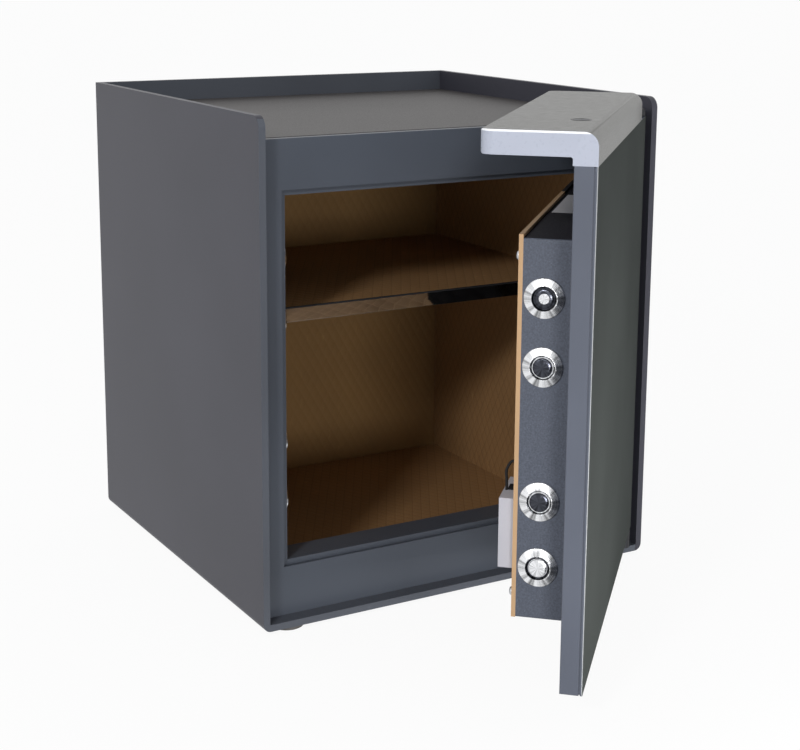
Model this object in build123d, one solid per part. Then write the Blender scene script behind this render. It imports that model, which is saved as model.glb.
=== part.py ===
from build123d import *
import math
import os

# A small security safe with a top-opening grip and motor bolts, modelled in millimetres.
# The cabinet is an open U of thick sheet round a steel body, with a tray on its top.
# X runs from the left side to the hinge side, Y from the front to the rear, Z up.
# The origin is the centre of the four floor anchor holes, in the underside of the base.

os.makedirs("parts", exist_ok=True)

# Cabinet shell
width = 460.0
depth = 432.0
height = 500.0
shell_sheet = 7.0
shell_bend = 8.0
panel_corner = 12.0
rear_sheet = 7.0

# Top tray
tray_lip = 23.0
tray_sheet = 2.0
tray_flange = 5.0
tray_gap = 1.0

# Front frame and its stepped opening
frame_recess = 16.5
frame_step = 0.5
frame_sheet = 2.0
frame_return = 8.0
rebate_depth = 4.5
rebate_width = 5.5
jamb_band = 29.0
head_band = 54.0
throat_bottom = 62.0

# Throat plates behind the frame
throat_sheet = 3.0
jamb_depth = 45.0
sill_depth = 36.0
fold_radius = 2.5

# Steel body and its felt lining
body_sheet = 6.0
body_floor_z = 14.0
rear_void = 32.5
ceiling_rise = 41.5
felt = 1.5
mat_thickness = 2.0

# Shelf
shelf_drop = 165.0
shelf_thickness = 15.0
shelf_front = 85.0
shelf_clearance = 0.3
trim_thickness = 2.0
trim_drop = 0.5
bracket_leg = 14.0
bracket_sheet = 2.0
bracket_length = 40.0
bracket_inset = 25.0

# Floor anchors and feet
anchor_spacing_x = 300.0
anchor_spacing_y = 240.0
anchor_radius = 5.5
foot_radius = 17.0
foot_height = 4.0
foot_inset_x = 33.5
foot_inset_y = 18.0
foot_edge = 1.0

# Door leaf
door_angle = 46.4
hinge_gap = 5.0
free_gap = 8.0
face_proud = 4.0
door_thickness = 19.5
face_sheet = 2.0
plate_sheet = 5.5
pan_wall = 2.5
door_bottom = 28.0
door_top_gap = 4.0
hinge_stile = 26.0
groove_depth = 0.8
groove_width = 1.2
outer_hinge_radius = 4.0
door_edge_radius = 1.0
door_foot_radius = 3.0

# Hinge
pin_setback = 8.0
pin_inset = 11.0
pin_radius = 5.0
pin_fit = 0.05
pin_reach = 14.0
pin_head_radius = 7.0
pin_head = 1.5
bore_end_gap = 1.0
washer = 1.0
washer_radius = 7.6
leaf_gap = 1.0
bracket_plate = 5.5
bracket_reach = 30.0
bracket_foot = 26.0

# Grip cap along the top of the door
cap_start = 50.0
cap_reach = 97.0
cap_thickness = 20.5
cap_height = 27.5
cap_overhang = 1.0
cap_outer_radius = 12.0
cap_nose_radius = 3.0
cap_plan_radius = 12.0
cap_inner_radius = 2.0

# Fingerprint sensor in the cap
sensor_from_free_edge = 95.0
sensor_setback = 26.5
sensor_radius = 9.0
sensor_window = 6.6
sensor_depth = 1.2
sensor_proud = 0.3
sensor_gap = 0.1

# Lock case on the inside of the door
case_free_inset = 50.0
case_hinge_inset = 44.0
case_sill_gap = 11.0
case_head_gap = 10.5
case_depth = 47.0
case_sheet = 2.5
case_edge_radius = 2.0
board_thickness = 4.0
board_overhang = 3.0
board_edge_radius = 1.0

# Bolts
bolt_radius = 10.0
bolt_pitch = 60.0
bolt_inset_low = 48.0
bolt_inset_high = 51.0
bolt_depth = 47.5
bolt_throw = 32.0
bolt_length = 50.0
bolt_chamfer = 1.5
bolt_neck_radius = 5.0
bolt_clearance = 0.5
rosette_radius = 17.75
rosette_proud = 3.5
rosette_flat = 14.5
sleeve_radius = 12.5
sleeve_length = 10.0
sleeve_clearance = 0.15
bolt_inset = 0.5

# Strike rings and holes in the jamb
strike_radius = 17.5
strike_bore = 11.0
strike_proud = 4.5
strike_wall_bore = 11.5

# Bolt bar, its guides and the actuator
bar_sheet = 3.0
bar_web = 60.0
bar_lift = 11.0
bar_flange = 22.0
bar_margin = 20.0
stud_radius = 4.0
stud_head_radius = 7.0
stud_head = 2.5
stud_offset = 14.0
slide_clearance = 0.3
rod_radius = 4.0
rod_length = 125.0
rod_fit = 0.1
rod_end_gap = 3.0
gearbox_length = 32.0
gearbox_width = 36.0
gearbox_height = 40.0
gearbox_gap = 71.0
motor_radius = 14.0
motor_length = 60.0

# Circuit board
pcb_length = 90.0
pcb_height = 120.0
pcb_thickness = 1.6
pcb_standoff = 6.0
pcb_post_radius = 3.0
pcb_inset = 26.0
pcb_drop = 42.0
pcb_post_inset = 6.0
relay_length = 20.0
relay_width = 16.0
relay_height = 12.0
capacitor_radius = 6.0
capacitor_height = 16.0
connector_length = 24.0
connector_width = 8.0

# Cover board fixings
screw_radius = 4.0
screw_head = 3.2
screw_inset_u = 10.0
screw_inset_z = 20.0
screw_dome = 1.4

# Battery box and its lead
box_width = 60.0
box_height = 64.0
box_proud = 14.0
box_wall = 3.0
box_base = 1.5
box_inset_u = 8.0
box_rise = 42.0
lid_thickness = 1.6
lid_lip = 1.4
lid_tongue = 1.3
lid_clearance = 0.3
thumb_radius = 6.0
thumb_depth = 0.6
lead_radius = 1.3
lead_inset_u = 31.0
lead_rise = 27.0
lead_straight = 5.2
lead_bulge = 10.2
lead_fall = 8.5
lead_low = 17.5
lead_entry = 9.2
lead_round = 0.45
grommet_radius = 4.0
grommet_proud = 1.8
grommet_edge = 0.6

# Places worked out from the sizes above
half_width = width / 2
front_y = -depth / 2
rear_y = depth / 2
inner_x = half_width - shell_sheet
tray_z = height - tray_lip
frame_y = front_y + frame_recess
frame_top = tray_z - frame_step
flange_y = frame_y + rebate_depth
flange_back = flange_y + frame_sheet
throat_x = inner_x - jamb_band
throat_top = frame_top - head_band
jamb_back = flange_y + jamb_depth
sill_back = flange_y + sill_depth
body_x = throat_x + throat_sheet
body_back = rear_y - rear_sheet - rear_void - body_sheet
body_floor = body_floor_z + body_sheet
body_ceiling = throat_top + ceiling_rise
body_top = body_ceiling + body_sheet
lining_x = body_x - felt
lining_back = body_back - felt
shelf_y = front_y + shelf_front
shelf_top = body_ceiling - shelf_drop
shelf_bottom = shelf_top - shelf_thickness

face_y = front_y - face_proud
hinge_edge = inner_x - hinge_gap
door_width = 2 * inner_x - hinge_gap - free_gap
hinge_x = hinge_edge - pin_inset
hinge_y = face_y + pin_setback
door_top = frame_top + door_top_gap
inner_round = door_thickness - pin_setback
cap_top = door_top + cap_height
cap_under = cap_top - cap_thickness
case_u = door_width - case_free_inset
case_bottom = throat_bottom + case_sill_gap
case_top = throat_top - case_head_gap
case_face = door_thickness + case_depth
board_face = case_face + board_thickness
bar_d = door_thickness + case_sheet + bar_lift
bar_u = case_u + rosette_proud - bolt_inset - bolt_length
stud_u = bar_u - stud_offset
lowest_bolt = case_bottom + bolt_inset_low
highest_bolt = case_top - bolt_inset_high
bolt_heights = [lowest_bolt, lowest_bolt + bolt_pitch, highest_bolt - bolt_pitch, highest_bolt]
stud_heights = [(low + high) / 2 for low, high in zip(bolt_heights, bolt_heights[1:])]
rod_z = stud_heights[1]
box_u = case_u - box_inset_u
box_bottom = case_bottom + box_rise
box_top = box_bottom + box_height
lead_u = case_u - lead_inset_u


def block(x0, x1, y0, y1, z0, z1):
    """A plain block between two corners."""
    centre = Pos((x0 + x1) / 2, (y0 + y1) / 2, (z0 + z1) / 2)
    return centre * Box(x1 - x0, y1 - y0, z1 - z0)


def along_x(face, x0, x1):
    """A face drawn as (y, z), extruded from x0 to x1."""
    return Pos(x0, 0, 0) * extrude(Plane.YZ * face, amount=x1 - x0)


def along_y(face, y0, y1):
    """A face drawn as (x, z), extruded from y0 to y1."""
    return Pos(0, y1, 0) * extrude(Plane.XZ * face, amount=y1 - y0)


def along_z(face, z0, z1):
    """A face drawn as (x, y), extruded from z0 to z1."""
    return Pos(0, 0, z0) * extrude(face, amount=z1 - z0)


def cylinder_x(radius, x0, x1, y, z):
    return Pos((x0 + x1) / 2, y, z) * Rot(0, 90, 0) * Cylinder(radius, x1 - x0)


def cylinder_y(radius, x, y0, y1, z):
    return Pos(x, (y0 + y1) / 2, z) * Rot(90, 0, 0) * Cylinder(radius, y1 - y0)


def cylinder_z(radius, x, y, z0, z1):
    return Pos(x, y, (z0 + z1) / 2) * Cylinder(radius, z1 - z0)


def door_x(u):
    """The x of a place u from the hinge edge, with the door closed."""
    return hinge_edge - u


def door_y(d):
    """The y of a place d behind the door's outer face, with the door closed."""
    return face_y + d


def door_block(u0, u1, d0, d1, z0, z1):
    return block(door_x(u1), door_x(u0), door_y(d0), door_y(d1), z0, z1)


def opened(shape):
    """Swings a piece of the closed door to its rest angle."""
    return shape.rotate(Axis((hinge_x, hinge_y, 0), (0, 0, 1)), door_angle)


def section(points):
    return make_face(Polyline(*points, close=True))


def corner(face, x, y):
    """The corner of a flat outline that lies nearest to a place."""
    return face.vertices().sort_by_distance((x, y, 0))[0]


# Cabinet shell and tray
def shell_hollow():
    """The outline inside the bent sheet, open above."""
    inside = Pos(0, shell_sheet + height / 2) * Rectangle(2 * inner_x, height)
    return fillet(inside.vertices().sort_by(Axis.Y)[:2], shell_bend - shell_sheet)


def outer_shell():
    outline = Pos(0, height / 2) * Rectangle(width, height)
    outline = fillet(outline.vertices().sort_by(Axis.Y)[:2], shell_bend)
    shell = along_y(outline - shell_hollow(), front_y, rear_y)
    front_edges = shell.edges().filter_by(Axis.X).filter_by_position(Axis.Y, front_y, front_y)
    shell = fillet(front_edges.sort_by(Axis.Z)[-2:], panel_corner)
    for x, y in anchor_places():
        shell -= cylinder_z(anchor_radius, x, y, -shell_sheet, 2 * shell_sheet)
    return shell


def anchor_places():
    return [
        (sx * anchor_spacing_x / 2, sy * anchor_spacing_y / 2)
        for sx in (-1, 1)
        for sy in (-1, 1)
    ]


def rear_panel():
    panel = block(-inner_x, inner_x, rear_y - rear_sheet, rear_y, shell_sheet, height)
    return panel & along_y(shell_hollow(), rear_y - rear_sheet, rear_y)


def top_tray():
    y0 = frame_y + frame_return + tray_gap
    y1 = rear_y - rear_sheet
    pan = block(-inner_x, inner_x, y0, y1, tray_z - tray_flange, tray_z)
    inside = block(
        -inner_x + tray_sheet,
        inner_x - tray_sheet,
        y0 + tray_sheet,
        y1 - tray_sheet,
        tray_z - 2 * tray_flange,
        tray_z - tray_sheet,
    )
    return pan - inside


def foot(x, y):
    disc = cylinder_z(foot_radius, x, y, -foot_height, 0)
    return chamfer(disc.edges().sort_by(Axis.Z)[:1], foot_edge)


def feet():
    foot_x = half_width - foot_inset_x
    foot_y = rear_y - foot_inset_y
    return [foot(sx * foot_x, sy * foot_y) for sx in (-1, 1) for sy in (-1, 1)]


# Front frame, throat and body
def frame_ring(outer, inner, y0, y1):
    """A flat ring across the front, each outline given as (half width, bottom, top)."""
    ox, oz0, oz1 = outer
    ix, iz0, iz1 = inner
    ring = block(-ox, ox, y0, y1, oz0, oz1)
    return ring - block(-ix, ix, y0, y1, iz0, iz1)


def grown(outline, amount):
    half, low, high = outline
    return (half + amount, low - amount, high + amount)


def front_frame():
    outside = (inner_x, shell_sheet, frame_top)
    throat = (throat_x, throat_bottom, throat_top)
    rebate = grown(throat, rebate_width)
    face = frame_ring(outside, rebate, frame_y, frame_y + frame_sheet)
    returns = frame_ring(outside, grown(outside, -frame_sheet), frame_y, frame_y + frame_return)
    step = frame_ring(grown(rebate, frame_sheet), rebate, frame_y, flange_back)
    flange = frame_ring(rebate, throat, flange_y, flange_back)
    frame = face + returns + step + flange
    return frame & along_y(shell_hollow(), frame_y, frame_y + frame_return)


def throat_jamb(side):
    """A plate beside the door opening, with side -1 on the left and 1 on the right."""
    x0, x1 = sorted((side * throat_x, side * body_x))
    z0 = throat_bottom - throat_sheet
    z1 = throat_top + throat_sheet
    return block(x0, x1, flange_back, jamb_back, z0, z1)


def throat_left():
    jamb = throat_jamb(-1)
    for z in bolt_heights:
        jamb -= cylinder_x(strike_bore, -body_x, -throat_x, door_y(bolt_depth), z)
    return jamb


def folded_lip(z_face, z_end):
    """A plate from the frame's flange to a fold, and a riser on to a body plate."""
    way = math.copysign(throat_sheet, z_end - z_face)
    points = [
        (flange_back, z_face),
        (sill_back, z_face),
        (sill_back, z_end),
        (sill_back - throat_sheet, z_end),
        (sill_back - throat_sheet, z_face + way),
        (flange_back, z_face + way),
    ]
    face = section(points)
    face = fillet(corner(face, sill_back, z_face), fold_radius)
    return along_x(face, -throat_x, throat_x)


def body_side(side):
    x0, x1 = sorted((side * body_x, side * (body_x + body_sheet)))
    return block(x0, x1, flange_back, body_back, body_floor_z, body_top)


def body_left():
    wall = body_side(-1)
    for z in bolt_heights:
        wall -= cylinder_x(strike_wall_bore, -body_x - body_sheet, -body_x, door_y(bolt_depth), z)
    return wall


def body_floor_plate():
    floor = block(-body_x, body_x, flange_back, body_back, body_floor_z, body_floor)
    for x, y in anchor_places():
        floor -= cylinder_z(anchor_radius, x, y, body_floor_z, body_floor)
    return floor


def body_ceiling_plate():
    return block(-body_x, body_x, flange_back, body_back, body_ceiling, body_top)


def body_back_plate():
    side = body_x + body_sheet
    return block(-side, side, body_back, body_back + body_sheet, body_floor_z, body_top)


def lining_side(side):
    x0, x1 = sorted((side * lining_x, side * body_x))
    return block(x0, x1, jamb_back, lining_back, body_floor, body_ceiling)


def lining_rear():
    return block(-body_x, body_x, lining_back, body_back, body_floor, body_ceiling)


def lining_ceiling():
    return block(-lining_x, lining_x, jamb_back, lining_back, body_ceiling - felt, body_ceiling)


def floor_mat():
    return block(-lining_x, lining_x, jamb_back, lining_back, body_floor, body_floor + mat_thickness)


def strike_ring(z):
    outline = section([
        (strike_bore, 0),
        (strike_radius, 0),
        (strike_radius, strike_proud),
        (strike_bore, strike_proud),
    ])
    ring = revolve(Plane.XZ * outline, Axis.Z)
    return Pos(-throat_x, door_y(bolt_depth), z) * Rot(0, 90, 0) * ring


# Shelf
def shelf():
    half = lining_x - shelf_clearance
    y0 = shelf_y + trim_thickness
    return block(-half, half, y0, lining_back - shelf_clearance, shelf_bottom, shelf_top)


def shelf_trim():
    half = lining_x - shelf_clearance
    return block(-half, half, shelf_y, shelf_y + trim_thickness, shelf_bottom - trim_drop, shelf_top)


def shelf_bracket(side, y0):
    """An angle on the side lining, under the shelf."""
    wall = side * lining_x
    tip = side * (lining_x - bracket_leg)
    inner = side * (lining_x - bracket_sheet)
    low = shelf_bottom - bracket_leg
    angle = section([
        (wall, shelf_bottom),
        (tip, shelf_bottom),
        (tip, shelf_bottom - bracket_sheet),
        (inner, shelf_bottom - bracket_sheet),
        (inner, low),
        (wall, low),
    ])
    return along_y(angle, y0, y0 + bracket_length)


def shelf_brackets():
    y_front = shelf_y + bracket_inset
    y_rear = lining_back - bracket_inset - bracket_length
    return [shelf_bracket(side, y0) for side in (-1, 1) for y0 in (y_front, y_rear)]


# Hinge
def hinge_plan(y_end):
    """A strap with a round nose about the hinge axis, reaching back to y_end."""
    strap = Pos(hinge_x, (hinge_y + y_end) / 2) * Rectangle(2 * pin_setback, y_end - hinge_y)
    return strap + Pos(hinge_x, hinge_y) * Circle(pin_setback)


def hinge_bracket_top():
    """A strap over the door's top with a tab welded to the side panel, clear of the tray."""
    z0 = door_top + leaf_gap
    z1 = z0 + bracket_plate
    y_foot = frame_y + frame_return + bracket_reach
    strap = along_z(hinge_plan(y_foot), z0, z1)
    tab = block(hinge_x, inner_x, y_foot - bracket_foot, y_foot, z0, z1)
    return strap + tab - cylinder_z(pin_radius + pin_fit, hinge_x, hinge_y, z0, z1)


def hinge_bracket_bottom():
    z1 = door_bottom - washer
    bearing = along_z(hinge_plan(frame_y), shell_sheet, z1)
    return bearing - cylinder_z(pin_radius + pin_fit, hinge_x, hinge_y, z1 - pin_reach, z1)


def hinge_pin_top():
    z_seat = door_top + leaf_gap + bracket_plate
    pin = cylinder_z(pin_radius, hinge_x, hinge_y, door_top - pin_reach, z_seat)
    head = cylinder_z(pin_head_radius, hinge_x, hinge_y, z_seat, z_seat + pin_head)
    return pin + head


def hinge_pin_bottom():
    z0 = door_bottom - washer - pin_reach
    return cylinder_z(pin_radius, hinge_x, hinge_y, z0, door_bottom + pin_reach)


def thrust_washer():
    disc = cylinder_z(washer_radius, hinge_x, hinge_y, door_bottom - washer, door_bottom)
    return disc - cylinder_z(pin_radius + pin_fit, hinge_x, hinge_y, door_bottom - washer, door_bottom)


# Door leaf, in the closed position
def door_blank(inset):
    """The door's full body, with its rounded plan and elevation, less an inset all round."""
    x0 = door_x(door_width - inset)
    x1 = door_x(inset)
    y1 = door_y(door_thickness)
    plan = Pos((x0 + x1) / 2, (face_y + y1) / 2) * Rectangle(x1 - x0, y1 - face_y)
    plan = fillet(corner(plan, x1, y1), inner_round)
    plan = fillet(corner(plan, x1, face_y), outer_hinge_radius)
    plan = fillet([corner(plan, x0, face_y), corner(plan, x0, y1)], door_edge_radius)
    z0 = door_bottom + inset
    z1 = door_top - inset
    front = Pos((x0 + x1) / 2, (z0 + z1) / 2) * Rectangle(x1 - x0, z1 - z0)
    front = fillet([corner(front, x0, z0), corner(front, x1, z0)], door_foot_radius)
    return along_z(plan, z0, z1) & along_y(front, face_y, y1)


def door_layer(inset, d0, d1):
    return door_blank(inset) & door_block(0, door_width, d0, d1, door_bottom, door_top)


def pin_bore(z0, z1):
    return cylinder_z(pin_radius + pin_fit, hinge_x, hinge_y, z0, z1)


def door_face():
    return door_layer(0, 0, face_sheet)


def door_pan():
    d_end = door_thickness - plate_sheet
    d_groove = face_sheet + groove_width
    pan = door_layer(0, d_groove, d_end) + door_layer(groove_depth, face_sheet, d_groove)
    pan -= door_block(
        hinge_stile,
        door_width - pan_wall,
        face_sheet + pan_wall,
        d_end,
        door_bottom + pan_wall,
        door_top - pan_wall,
    )
    reach = pin_reach + bore_end_gap
    pan -= pin_bore(door_bottom, door_bottom + reach)
    return pan - pin_bore(door_top - reach, door_top)


def door_plate():
    return door_layer(0, door_thickness - plate_sheet, door_thickness)


def cap_profile():
    leg = door_thickness + cap_overhang
    face = section([
        (door_y(0), door_top),
        (door_y(0), cap_top),
        (door_y(cap_reach), cap_top),
        (door_y(cap_reach), cap_under),
        (door_y(leg), cap_under),
        (door_y(leg), door_top),
    ])
    face = fillet(corner(face, door_y(0), cap_top), cap_outer_radius)
    face = fillet(corner(face, door_y(cap_reach), cap_top), cap_nose_radius)
    face = fillet(corner(face, door_y(cap_reach), cap_under), cap_nose_radius)
    face = fillet(corner(face, door_y(leg), cap_under), cap_inner_radius)
    x0 = door_x(door_width)
    x1 = door_x(cap_start)
    bar = along_x(face, x0, x1)
    y1 = door_y(cap_reach)
    plan = Pos((x0 + x1) / 2, (face_y + y1) / 2) * Rectangle(x1 - x0, y1 - face_y)
    plan = fillet([corner(plan, x0, y1), corner(plan, x1, y1)], cap_plan_radius)
    return bar & along_z(plan, door_top, cap_top)


def sensor_axis():
    return door_x(door_width - sensor_from_free_edge), door_y(sensor_setback)


def grip_cap():
    x, y = sensor_axis()
    seat = cylinder_z(sensor_radius + sensor_gap, x, y, cap_top - sensor_depth, cap_top)
    return cap_profile() - seat


def sensor_ring():
    x, y = sensor_axis()
    z0 = cap_top - sensor_depth
    ring = cylinder_z(sensor_radius, x, y, z0, cap_top + sensor_proud)
    ring = chamfer(ring.edges().sort_by(Axis.Z)[-1:], sensor_proud)
    return ring - cylinder_z(sensor_window, x, y, z0, cap_top + sensor_proud)


def sensor_lens():
    x, y = sensor_axis()
    return cylinder_z(sensor_window - sensor_gap, x, y, cap_top - sensor_depth, cap_top)


# Lock case, in the closed position
def lock_case():
    shell = door_block(case_hinge_inset, case_u, door_thickness, case_face, case_bottom, case_top)
    shell = fillet(shell.edges().filter_by(Axis.Y), case_edge_radius)
    shell -= door_block(
        case_hinge_inset + case_sheet,
        case_u - case_sheet,
        door_thickness + case_sheet,
        case_face,
        case_bottom + case_sheet,
        case_top - case_sheet,
    )
    hole = sleeve_radius + sleeve_clearance
    for z in bolt_heights:
        shell -= cylinder_x(hole, door_x(case_u), door_x(case_u - case_sheet), door_y(bolt_depth), z)
    return shell


def cover_board():
    z1 = case_top + board_overhang
    board = door_block(case_hinge_inset, case_u, case_face, board_face, case_bottom, z1)
    board = fillet(board.faces().sort_by(Axis.Y)[-1].edges(), board_edge_radius)
    x = door_x(lead_u)
    return board - cylinder_y(grommet_radius, x, door_y(case_face), door_y(board_face), lead_z())


def cover_screw(u, z):
    head = cylinder_y(screw_radius, door_x(u), door_y(board_face), door_y(board_face + screw_head), z)
    return chamfer(head.edges().sort_by(Axis.Y)[-1:], screw_dome)


def cover_screws():
    us = (case_hinge_inset + screw_inset_u, case_u - screw_inset_u)
    zs = (case_bottom + screw_inset_z, case_top + board_overhang - screw_inset_z)
    return [cover_screw(u, z) for u in us for z in zs]


def rosette(z):
    """A chrome bush with a coned flange, turned about the bolt's axis."""
    bore = bolt_radius + bolt_clearance
    outline = section([
        (rosette_radius, 0),
        (rosette_flat, rosette_proud),
        (bore, rosette_proud),
        (bore, -sleeve_length),
        (sleeve_radius, -sleeve_length),
        (sleeve_radius, 0),
    ])
    bush = revolve(Plane.XZ * outline, Axis.Z)
    return Pos(door_x(case_u), door_y(bolt_depth), z) * Rot(0, -90, 0) * bush


def guide_stud(z):
    d0 = door_thickness + case_sheet
    d_web = bar_d - slide_clearance
    d_head = bar_d + bar_sheet + slide_clearance
    x = door_x(stud_u)
    collar = cylinder_y(stud_head_radius, x, door_y(d0), door_y(d_web), z)
    shank = cylinder_y(stud_radius, x, door_y(d_web), door_y(d_head), z)
    head = cylinder_y(stud_head_radius, x, door_y(d_head), door_y(d_head + stud_head), z)
    return collar + shank + head


def actuator():
    u1 = bar_u - gearbox_gap
    u0 = u1 - gearbox_length
    d0 = door_thickness + case_sheet
    box = door_block(u0, u1, d0, d0 + gearbox_height, rod_z - gearbox_width / 2, rod_z + gearbox_width / 2)
    motor = cylinder_x(motor_radius, door_x(u0), door_x(u0 - motor_length), door_y(bolt_depth), rod_z)
    u_end = bar_u - bar_sheet - rod_length - rod_end_gap
    bore = cylinder_x(rod_radius + rod_fit, door_x(u1), door_x(u_end), door_y(bolt_depth), rod_z)
    return box + motor - bore


def circuit_board():
    u0 = case_hinge_inset + pcb_inset
    z0 = case_top - pcb_drop - pcb_height
    d0 = door_thickness + case_sheet
    d1 = d0 + pcb_standoff
    d2 = d1 + pcb_thickness
    board = door_block(u0, u0 + pcb_length, d1, d2, z0, z0 + pcb_height)
    for u in (u0 + pcb_post_inset, u0 + pcb_length - pcb_post_inset):
        for z in (z0 + pcb_post_inset, z0 + pcb_height - pcb_post_inset):
            board += cylinder_y(pcb_post_radius, door_x(u), door_y(d0), door_y(d1), z)
    u_mid = u0 + pcb_length / 2
    z_mid = z0 + pcb_height / 2
    board += door_block(u_mid, u_mid + relay_length, d2, d2 + relay_height, z_mid, z_mid + relay_width)
    z_low = z0 + pcb_height / 4
    u_low = u0 + pcb_length / 4
    board += cylinder_y(capacitor_radius, door_x(u_low), door_y(d2), door_y(d2 + capacitor_height), z_low)
    z_high = z0 + pcb_height - 2 * connector_width
    u_high = u_low + connector_length
    d_high = d2 + connector_width
    return board + door_block(u_low, u_high, d2, d_high, z_high, z_high + connector_width)


# Battery box and lead, in the closed position
def lid_levels():
    """The lid's inner and outer depth, and its groove's."""
    outer = board_face + box_proud - lid_lip
    inner = outer - lid_thickness
    return inner, outer


def battery_box():
    inner, outer = lid_levels()
    tub = door_block(box_u - box_width, box_u, board_face, board_face + box_proud, box_bottom, box_top)
    tub -= door_block(
        box_u - box_width + box_wall,
        box_u - box_wall,
        board_face + box_base,
        board_face + box_proud,
        box_bottom + box_wall,
        box_top - box_wall,
    )
    slot = lid_tongue + lid_clearance
    tub -= door_block(
        box_u - box_width + box_wall - slot,
        box_u - box_wall + slot,
        inner - lid_clearance,
        outer + lid_clearance,
        box_bottom,
        box_top - box_wall + slot,
    )
    return tub - door_block(
        box_u - box_width + box_wall,
        box_u - box_wall,
        outer,
        board_face + box_proud,
        box_bottom,
        box_top - box_wall,
    )


def battery_lid():
    inner, outer = lid_levels()
    lid = door_block(
        box_u - box_width + box_wall - lid_tongue,
        box_u - box_wall + lid_tongue,
        inner,
        outer,
        box_bottom,
        box_top - box_wall + lid_tongue,
    )
    u_mid = box_u - box_width / 2
    z_mid = box_bottom + box_height / 4
    notch = cylinder_y(thumb_radius, door_x(u_mid), door_y(outer - thumb_depth), door_y(outer), z_mid)
    return lid - notch


def lead_z():
    return box_top + lead_rise


def lead_grommet():
    x = door_x(lead_u)
    z = lead_z()
    plug = cylinder_y(grommet_radius, x, door_y(case_face), door_y(board_face), z)
    collar_radius = grommet_radius + grommet_proud
    collar = cylinder_y(collar_radius, x, door_y(board_face), door_y(board_face + grommet_proud), z)
    collar = chamfer(collar.edges().sort_by(Axis.Y)[-1:], grommet_edge)
    return plug + collar


def lead_route():
    """The lead's corners in the closed door: out of the grommet, then down into the box."""
    x = door_x(lead_u)
    z = lead_z()
    d = board_face + grommet_proud
    steps = [
        (0, 0),
        (lead_straight, 0),
        (lead_bulge, -lead_fall),
        (lead_entry, -lead_low),
        (lead_entry, -lead_rise),
    ]
    return [Vector(x, door_y(d + out), z + drop) for out, drop in steps]


def lead_radii(points):
    """Each corner's radius, as large as its two runs allow."""
    radii = []
    for before, here, after in zip(points, points[1:], points[2:]):
        turn = math.radians((here - before).get_angle(after - here))
        shorter = min((here - before).length, (after - here).length)
        radii.append(lead_round * shorter / math.tan(turn / 2))
    return radii


def battery_lead():
    points = lead_route()
    radii = lead_radii(points)
    path = FilletPolyline(*points, radius=radii)
    start = Plane(origin=points[0], z_dir=points[1] - points[0])
    lead = sweep(start * Circle(lead_radius), path=path)
    ideal = math.pi * lead_radius ** 2 * path.length
    print("lead radii", [round(r, 1) for r in radii], "length", round(path.length, 1))
    print("lead volume ratio", round(lead.volume / ideal, 4))
    return lead


# Bolts and bolt bar, in the closed position
def bolt(z):
    tip = door_x(bar_u + bolt_length)
    root = door_x(bar_u)
    shank = cylinder_x(bolt_radius, tip, root, door_y(bolt_depth), z)
    shank = chamfer(shank.edges().sort_by(Axis.X)[:1], bolt_chamfer)
    return shank + cylinder_x(bolt_neck_radius, root, door_x(bar_u - bar_sheet), door_y(bolt_depth), z)


def bolt_bar():
    """An angle with slots for the guide studs and a hole for each bolt's neck."""
    z0 = bolt_heights[0] - bar_margin
    z1 = bolt_heights[-1] + bar_margin
    web = door_block(bar_u - bar_web, bar_u, bar_d, bar_d + bar_sheet, z0, z1)
    flange = door_block(bar_u - bar_sheet, bar_u, bar_d, bar_d + bar_sheet + bar_flange, z0, z1)
    bar = web + flange
    slot_radius = stud_radius + slide_clearance
    u_slot = stud_u - bolt_throw / 2
    for z in stud_heights:
        slot = Pos(door_x(u_slot), z) * SlotCenterToCenter(bolt_throw, 2 * slot_radius)
        bar -= along_y(slot, door_y(bar_d), door_y(bar_d + bar_sheet))
    for z in bolt_heights:
        bar -= cylinder_x(bolt_neck_radius, door_x(bar_u), door_x(bar_u - bar_sheet), door_y(bolt_depth), z)
    return bar


def actuator_rod():
    u1 = bar_u - bar_sheet
    return cylinder_x(rod_radius, door_x(u1), door_x(u1 - rod_length), door_y(bolt_depth), rod_z)


def save(name, shape):
    shape.label = name
    export_step(shape, os.path.join("parts", name + ".step"))


def save_group(name, solids):
    save(name, Compound(children=solids))


def build_cabinet():
    save("outer_shell", outer_shell())
    save("rear_panel", rear_panel())
    save("top_tray", top_tray())
    save("front_frame", front_frame())
    save("throat_left", throat_left())
    save("throat_right", throat_jamb(1))
    save("throat_sill", folded_lip(throat_bottom, body_floor))
    save("throat_head", folded_lip(throat_top, body_ceiling))
    save("body_left", body_left())
    save("body_right", body_side(1))
    save("body_back", body_back_plate())
    save("body_floor", body_floor_plate())
    save("body_ceiling", body_ceiling_plate())
    save("lining_left", lining_side(-1))
    save("lining_right", lining_side(1))
    save("lining_back", lining_rear())
    save("lining_ceiling", lining_ceiling())
    save("floor_mat", floor_mat())
    save("shelf", shelf())
    save("shelf_trim", shelf_trim())
    save_group("shelf_brackets", shelf_brackets())
    save_group("strike_rings", [strike_ring(z) for z in bolt_heights])
    save_group("feet", feet())
    save("hinge_bracket_top", hinge_bracket_top())
    save("hinge_bracket_bottom", hinge_bracket_bottom())
    save("hinge_pin_top", hinge_pin_top())
    save("hinge_pin_bottom", hinge_pin_bottom())
    save("thrust_washer", thrust_washer())


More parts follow.
